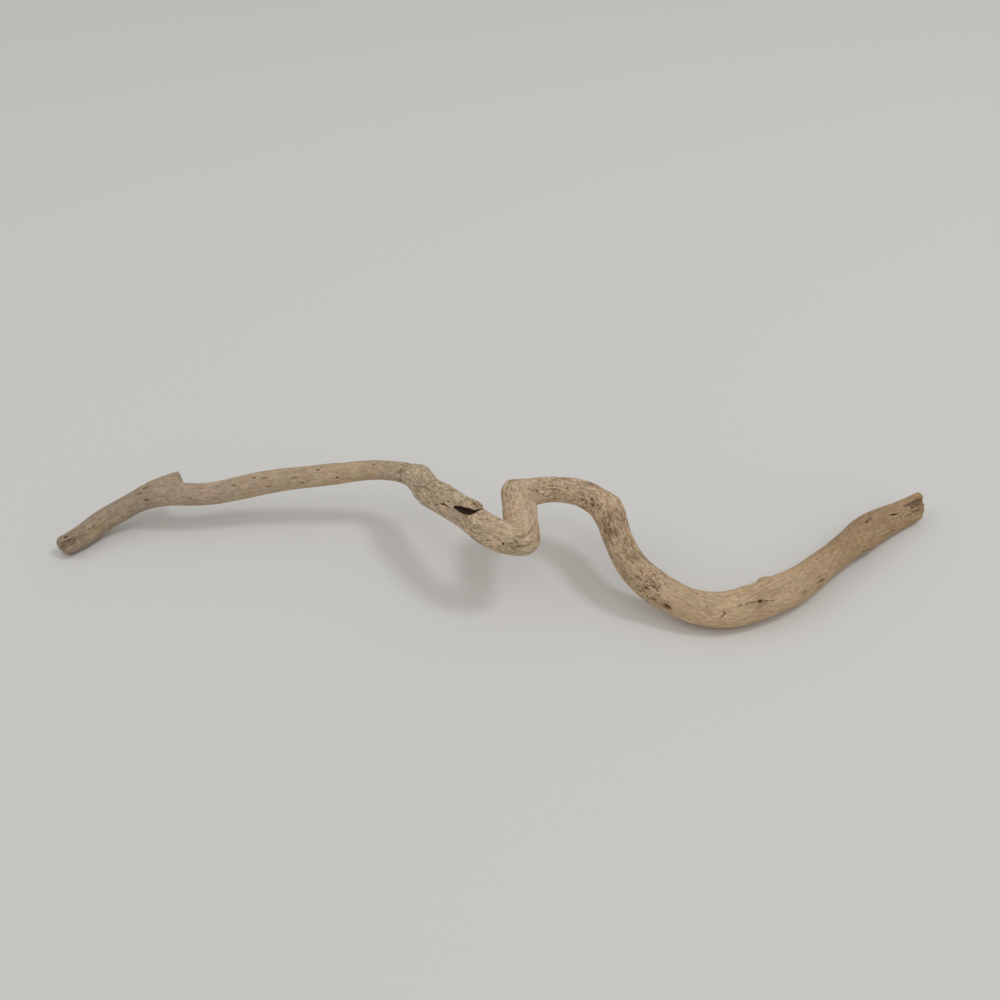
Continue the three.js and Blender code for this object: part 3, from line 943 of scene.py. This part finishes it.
def wood_material():
    n = Nodes("weathered_wood")
    grain = n.attribute("grain")
    level, strength, torn = n.add("ShaderNodeSeparateXYZ", {0: n.attribute("mark")}).outputs
    stain_and_shade, pale, hollow_shade = n.add("ShaderNodeSeparateXYZ", {0: n.attribute("wear_and_painted_light")}).outputs
    fibre = pattern(n, grain, FIBRE)
    patches = pattern(n, grain, DARK_PATCHES)
    mottle = pattern(n, grain, MOTTLE)
    color = sound_color(n, grain, fibre)

    # Uneven colour, pale flecks, wear with painted highlight, stains and painted shade
    uneven = n.math("MULTIPLY", n.spread(mottle, *MOTTLE_SHADE), n.spread(torn, *MOTTLE_IN_TORN))
    color = shaded(n, color, n.math("ADD", uneven, 1.0))
    fleck = pale_flecks(n, grain, torn)
    color = n.mix(n.math("MAXIMUM", fleck, n.math("MULTIPLY", pale, PALE_WEAR_AND_HIGHLIGHT)), color, PALE_COLOR)
    # Stains, and the painted shade of the crease and of crevices
    color = n.mix(n.math("MULTIPLY", stain_and_shade, n.spread(patches, *STAIN_AND_SHADE_SHARE)), color, STAIN_AND_SHADE_COLOR)
    fine = dark_strokes(n, grain, patches, stain_and_shade, torn)
    color = n.mix(n.math("MULTIPLY", fine, STROKE_DARK), color, MARK_COLOR)

    # The pressed marks and the painted shade in the hollows, with ragged edges
    ragged = n.math("SUBTRACT", pattern(n, grain, RAGGED), 0.5)
    inside = n.spread(n.math("ADD", level, n.math("MULTIPLY", ragged, MARK_RAGGED)), *MARK_EDGE)
    mark = n.math("MULTIPLY", inside, n.spread(strength, *MARK_SHARE))
    # The deepest marks take the painted shade colour of the hollows
    mark_and_shade_color = n.mix(n.spread(strength, *BLACK_MARKS), MARK_COLOR, HOLLOW_SHADE_COLOR)
    color = n.mix(mark, color, mark_and_shade_color)
    # Painted shade in the hollows, with a ragged edge
    broken = n.math("MULTIPLY", hollow_shade, n.spread(ragged, *HOLLOW_RAGGED))
    color = n.mix(n.spread(broken, *HOLLOW_SHARE), color, HOLLOW_SHADE_COLOR)

    # The relief that is too fine for the mesh
    height = n.math("MULTIPLY", fibre, FIBRE_RELIEF)
    height = n.math("ADD", height, n.math("MULTIPLY", fleck, FLECK_RELIEF))
    height = n.math("ADD", height, n.math("MULTIPLY", mottle, torn))
    height = n.math("SUBTRACT", height, n.math("MULTIPLY", fine, STROKE_RELIEF))
    pressed = n.math("MULTIPLY", inside, n.math("MULTIPLY", strength, MARK_RELIEF))
    height = n.math("SUBTRACT", height, pressed)
    relief = {"Height": height, "Strength": BUMP_STRENGTH, "Distance": BUMP_HEIGHT * MM}
    bump = n.add("ShaderNodeBump", relief).outputs[0]
    look = {"Base Color": color, "Roughness": n.spread(fibre, *ROUGHNESS), "Normal": bump}
    shader = n.add("ShaderNodeBsdfPrincipled", look)
    shader.inputs["Specular IOR Level"].default_value = WOOD_SPECULAR
    n.add("ShaderNodeOutputMaterial", {"Surface": shader.outputs[0]})
    return n.material


def floor_material():
    n = Nodes("pale_floor")
    look = {"Base Color": (*FLOOR_COLOR, 1), "Roughness": FLOOR_ROUGHNESS}
    shader = n.add("ShaderNodeBsdfPrincipled", look)
    shader.inputs["Specular IOR Level"].default_value = FLOOR_SPECULAR
    n.add("ShaderNodeOutputMaterial", {"Surface": shader.outputs[0]})
    return n.material


def add_floor():
    mesh = bpy.data.meshes.new("floor")
    half = FLOOR_SIZE / 2
    corners = [(-half, -half, 0), (half, -half, 0), (half, half, 0), (-half, half, 0)]
    mesh.from_pydata(corners, [], [(0, 1, 2, 3)])
    floor = bpy.data.objects.new("floor", mesh)
    floor.data.materials.append(floor_material())
    bpy.context.scene.collection.objects.link(floor)


def add_light():
    for turn, height, share, size, color in LAMPS:
        turn, height = math.radians(turn), math.radians(height)
        lamp = bpy.data.lights.new("lamp", "AREA")
        lamp.shape = "DISK"
        lamp.size = size
        lamp.energy = share * FLOOR_LIGHT / math.sin(height) * math.pi * LAMP_DISTANCE**2
        lamp.color = color
        light = bpy.data.objects.new("lamp", lamp)
        flat = math.cos(height)
        way = Vector((flat * math.cos(turn), flat * math.sin(turn), math.sin(height)))
        light.location = way * LAMP_DISTANCE
        light.rotation_euler = way.to_track_quat("Z", "Y").to_euler()
        bpy.context.scene.collection.objects.link(light)
    world = bpy.data.worlds.new("fill")
    world.use_nodes = True
    background = world.node_tree.nodes["Background"]
    background.inputs["Color"].default_value = (*FILL_COLOR, 1)
    rest = 1 - sum(lamp[2] for lamp in LAMPS)
    background.inputs["Strength"].default_value = rest * FLOOR_LIGHT / math.pi
    bpy.context.scene.world = world


def add_camera():
    lens = bpy.data.cameras.new("camera")
    lens.lens = CAMERA_LENS
    lens.sensor_width = CAMERA_SENSOR
    camera = bpy.data.objects.new("camera", lens)
    camera.location = CAMERA_PLACE
    camera.rotation_euler = (CAMERA_PITCH, 0, 0)
    bpy.context.scene.collection.objects.link(camera)
    bpy.context.scene.camera = camera


driftwood = weathered(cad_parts["driftwood"])
driftwood.data.materials.append(wood_material())
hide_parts("driftwood")
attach(driftwood, "root")

add_floor()
add_light()
add_camera()
bpy.context.scene.view_settings.view_transform = "Standard"
